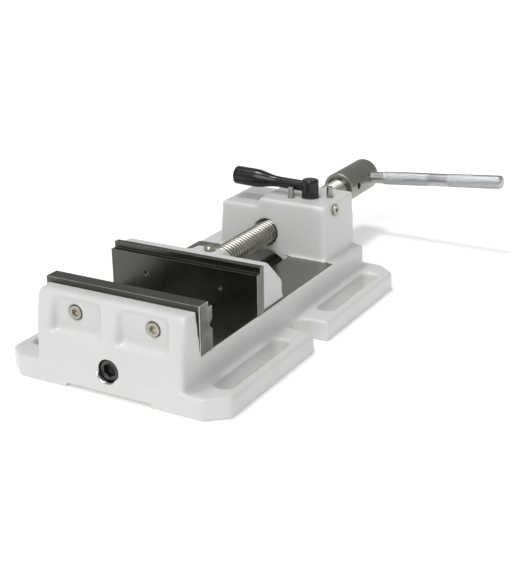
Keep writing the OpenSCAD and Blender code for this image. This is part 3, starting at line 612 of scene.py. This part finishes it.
def bar_shape():
    """The bar as a turned surface r(s, t) on a grid, with two knurled stretches. There the radius falls in
    grooves along two crossed families of helices, where the sine of either family's phase is small."""
    tilt = math.radians(BAR_TILT)
    axis = np.array([0, -math.cos(tilt), math.sin(tilt)])
    low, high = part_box("crank_hub")
    centre = np.array([high.x - BAR_FROM_HUB_END, 0, (low.z + high.z) / 2])
    across = np.array([1.0, 0, 0])
    third = np.cross(axis, across)
    around = 156
    pitch = 2 * math.pi * BAR_RADIUS / KNURL_STARTS
    s = [np.array([BAR_START, BAR_START, -7.4]), np.linspace(-7.4, 41.6, 14), np.array([NECK_END])]
    for first, last in KNURLS:
        s.append(np.linspace(first, last, int((last - first) / pitch * 4) + 1))
        s.append(np.array([last + 0.3]))
    s = np.unique(np.concatenate(s + [np.linspace(112.3, 141.7, 8), np.linspace(TIP_START, BAR_END, 9)]))
    t = np.linspace(0, 2 * np.pi, around, endpoint=False)
    grid_s, grid_t = np.meshgrid(s, t, indexing="ij")
    lay = grid_s / pitch
    turn = grid_t / (2 * np.pi) * KNURL_STARTS
    groove = np.minimum(np.abs(np.sin(np.pi * (turn + lay))), np.abs(np.sin(np.pi * (turn - lay))))
    knurled = BAR_RADIUS - KNURL_DEPTH * (1 - np.minimum(1.0, groove * 1.5))
    r = np.where(grid_s < NECK_END, BAR_RADIUS - 1.0, BAR_RADIUS - 0.25)
    for first, last in KNURLS:
        r = np.where((grid_s > first + 0.01) & (grid_s < last - 0.01), knurled, r)
    tip = np.clip((grid_s - TIP_START) / (BAR_END - TIP_START), 0, 1)
    r = np.where(grid_s > 217.6, BAR_RADIUS - 0.1 - 2.0 * tip ** 2, r)
    r = np.where(grid_s < -7.9, BAR_RADIUS - 1.6, r)
    points = centre + (grid_s * MM)[..., None] * axis + (r * MM)[..., None] * (
        np.cos(grid_t)[..., None] * across + np.sin(grid_t)[..., None] * third)
    return points.reshape(-1, 3), capped_faces(len(s), around)


# ---------------------------------------------------------------- lever

# Millimetres and degrees; the arm and the grip are measured along the arm's axis, from the lever's axis
ARM_TURN = 92.41             # direction of the arm at rest, from +X
ARM_RISE = 2.2
ARM_HEIGHT = 12.8            # of the arm's axis over the pad, at the lever's axis
ARM_RADIUS = 7.0
STOP_GAP = 0.3               # height of the hub's foot over the pad
HUB_RIM = 2.6                # radius of the hub's top edge
GRIP_START, GRIP_SWELL, GRIP_END = 46, 32, 107.8
GRIP_NECK, GRIP_RADIUS = 7.1, 11.95
GRIP_RIM = 3.0


def swept(path, radii, sides=40, level=(0, 0, 1)):
    """Round bar along a path that never runs along level: at each point a circle of that radius, square to
    the path. radii is one radius or one for each point."""
    path = np.array(path, float)
    along = np.gradient(path, axis=0)
    along /= np.linalg.norm(along, axis=1)[:, None]
    side = np.cross(along, level)
    side /= np.linalg.norm(side, axis=1)[:, None]
    top = np.cross(side, along)
    t = np.linspace(0, 2 * np.pi, sides, endpoint=False)
    ring = np.cos(t)[None, :, None] * side[:, None, :] + np.sin(t)[None, :, None] * top[:, None, :]
    size = np.broadcast_to(radii, len(path))[:, None, None]
    return (path[:, None, :] + size * ring).reshape(-1, 3), capped_faces(len(path), sides)


def lever_pieces(finish):
    """The lever's hub as a turned shape; its arm and grip as round bars along the arm's axis, which leaves
    the hub at ARM_TURN in plan and rises by ARM_RISE. The grip swells by the smooth step 3u^2 - 2u^3 and
    ends in a rounded rim."""
    low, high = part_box("lever_hub")
    x, y = (low.x + high.x) / 2, (low.y + high.y) / 2
    foot, top = low.z, high.z
    wide = (high.x - low.x) / 2 / MM
    height = (top - foot) / MM
    quarter = np.linspace(0, np.pi / 2, 7)
    hub = [(0, 0), (0, wide - 0.6), (0.6, wide)]
    for k in quarter:
        hub.append((height - HUB_RIM + HUB_RIM * math.sin(k), wide - HUB_RIM + HUB_RIM * math.cos(k)))
    hub.append((height, 0))
    points, faces = lathe(hub, (x, y, foot), (0, 0, 1))
    made = add_piece("lever_hub_finished", points, faces, "lever", finish["black_lever"], 40)
    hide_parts("lever_hub")
    turn = math.radians(ARM_TURN)
    rise = math.tan(math.radians(ARM_RISE))
    centre_z = foot / MM - STOP_GAP + ARM_HEIGHT
    out = np.array([math.cos(turn), math.sin(turn), 0])

    def place(s):
        return np.array([x, y, 0]) + out * s * MM + np.array([0, 0, (centre_z + rise * s) * MM])

    s = np.array([7.5, 9, 12, 20, 30, 38, 44, 46])
    points, faces = swept([place(k) for k in s], ARM_RADIUS * MM)
    made = add_piece("lever_arm_finished", points, faces, "lever", finish["black_lever"], 50)
    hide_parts("lever_arm")
    body_end = GRIP_END - GRIP_RIM
    rounding = body_end + GRIP_RIM * np.sin(quarter[1:])
    s = np.concatenate([[46.05, 46.3], np.linspace(47, body_end, 28), rounding])
    swell = np.clip((s - GRIP_START) / GRIP_SWELL, 0, 1)
    r = GRIP_NECK + (GRIP_RADIUS - GRIP_NECK) * swell * swell * (3 - 2 * swell)
    nose = np.clip((s - GRIP_END + GRIP_RIM) / GRIP_RIM, 0, 1)
    r = r - GRIP_RIM * (1 - np.sqrt(np.maximum(1 - nose * nose, 0.0)))
    points, faces = swept([place(k) for k in s], r * MM, 48)
    made = add_piece("lever_grip_finished", points, faces, "lever", finish["black_grip"], 35)
    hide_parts("lever_grip")


# ---------------------------------------------------------------- springs

def spring_pieces(finish):
    """Two wound springs, one over the other: a round wire carried along a helix about -Y."""
    low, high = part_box("nut_springs")
    x = (low.x + high.x) / 2
    mean, wire, outer = 1.95 * MM, 0.5 * MM, 2.5 * MM   # radii of the helix, the wire and the whole spring
    turns, steps_per_turn = 9, 24
    length = high.y - low.y - 2 * wire
    t = np.linspace(0, 1, turns * steps_per_turn + 1)
    angle = 2 * np.pi * turns * t
    shapes = []
    for z in (low.z + outer, high.z - outer):
        path = np.stack([x + mean * np.cos(angle), high.y - wire - length * t, z + mean * np.sin(angle)], -1)
        shapes.append(swept(path, wire, 8, level=(0, 1, 0)))
    points, faces = join_shapes(*shapes)
    made = add_piece("nut_springs_wound", points, faces, "base", finish["spring_steel"], 60)
    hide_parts("nut_springs")


# ---------------------------------------------------------------- build

def body_of_node(name):
    for body, members in frame["record"]["behaviour"]["bodies"].items():
        if name in members:
            return body
    raise KeyError(name)


SLOT_OF = {row["node"]: row["material_slot"] for row in frame["record"]["subparts"]}

make_camera()
make_stage()
finish = make_finishes()

for name, node in nodes.items():
    node.data.materials.clear()
    node.data.materials.append(finish[SLOT_OF[name]])

casting = soft_casting("base_casting", "base", finish["painted_casting"], 1.5, base_radius)
jaw = soft_casting("movable_jaw", "jaw", finish["jaw_paint"], 1.1, jaw_radius, 40, 120000)

BEVELS = {
    "fixed_jaw_plate": 0.45, "movable_jaw_plate": 0.45, "fixed_jaw_screws": 0.6, "movable_jaw_screws": 0.6,
    "guide_rod_screw": 0.8, "cam_retaining_screw": 0.6, "spindle_keeper_screw": 1.0, "crank_hub": 0.8,
    "crank_set_screw": 0.3, "stop_pins": 0.3,
}
for name, width in BEVELS.items():
    # The jaw plates' bevels get the lighter edge steel, a painted highlight along their edges.
    edge = finish["highlight_edge"] if name.endswith("_plate") else None
    made = bevelled_copy(name, body_of_node(name), finish[SLOT_OF[name]], width, edge)

points, faces = spindle_shape()
spindle = add_piece("spindle_threaded", points, faces, "spindle", finish["spindle_steel"], 40)
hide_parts("spindle")

points, faces = bar_shape()
bar = add_piece("handle_bar_knurled", points, faces, "spindle", finish["plated_bar"], 60)
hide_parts("handle_bar")

lever_pieces(finish)
spring_pieces(finish)
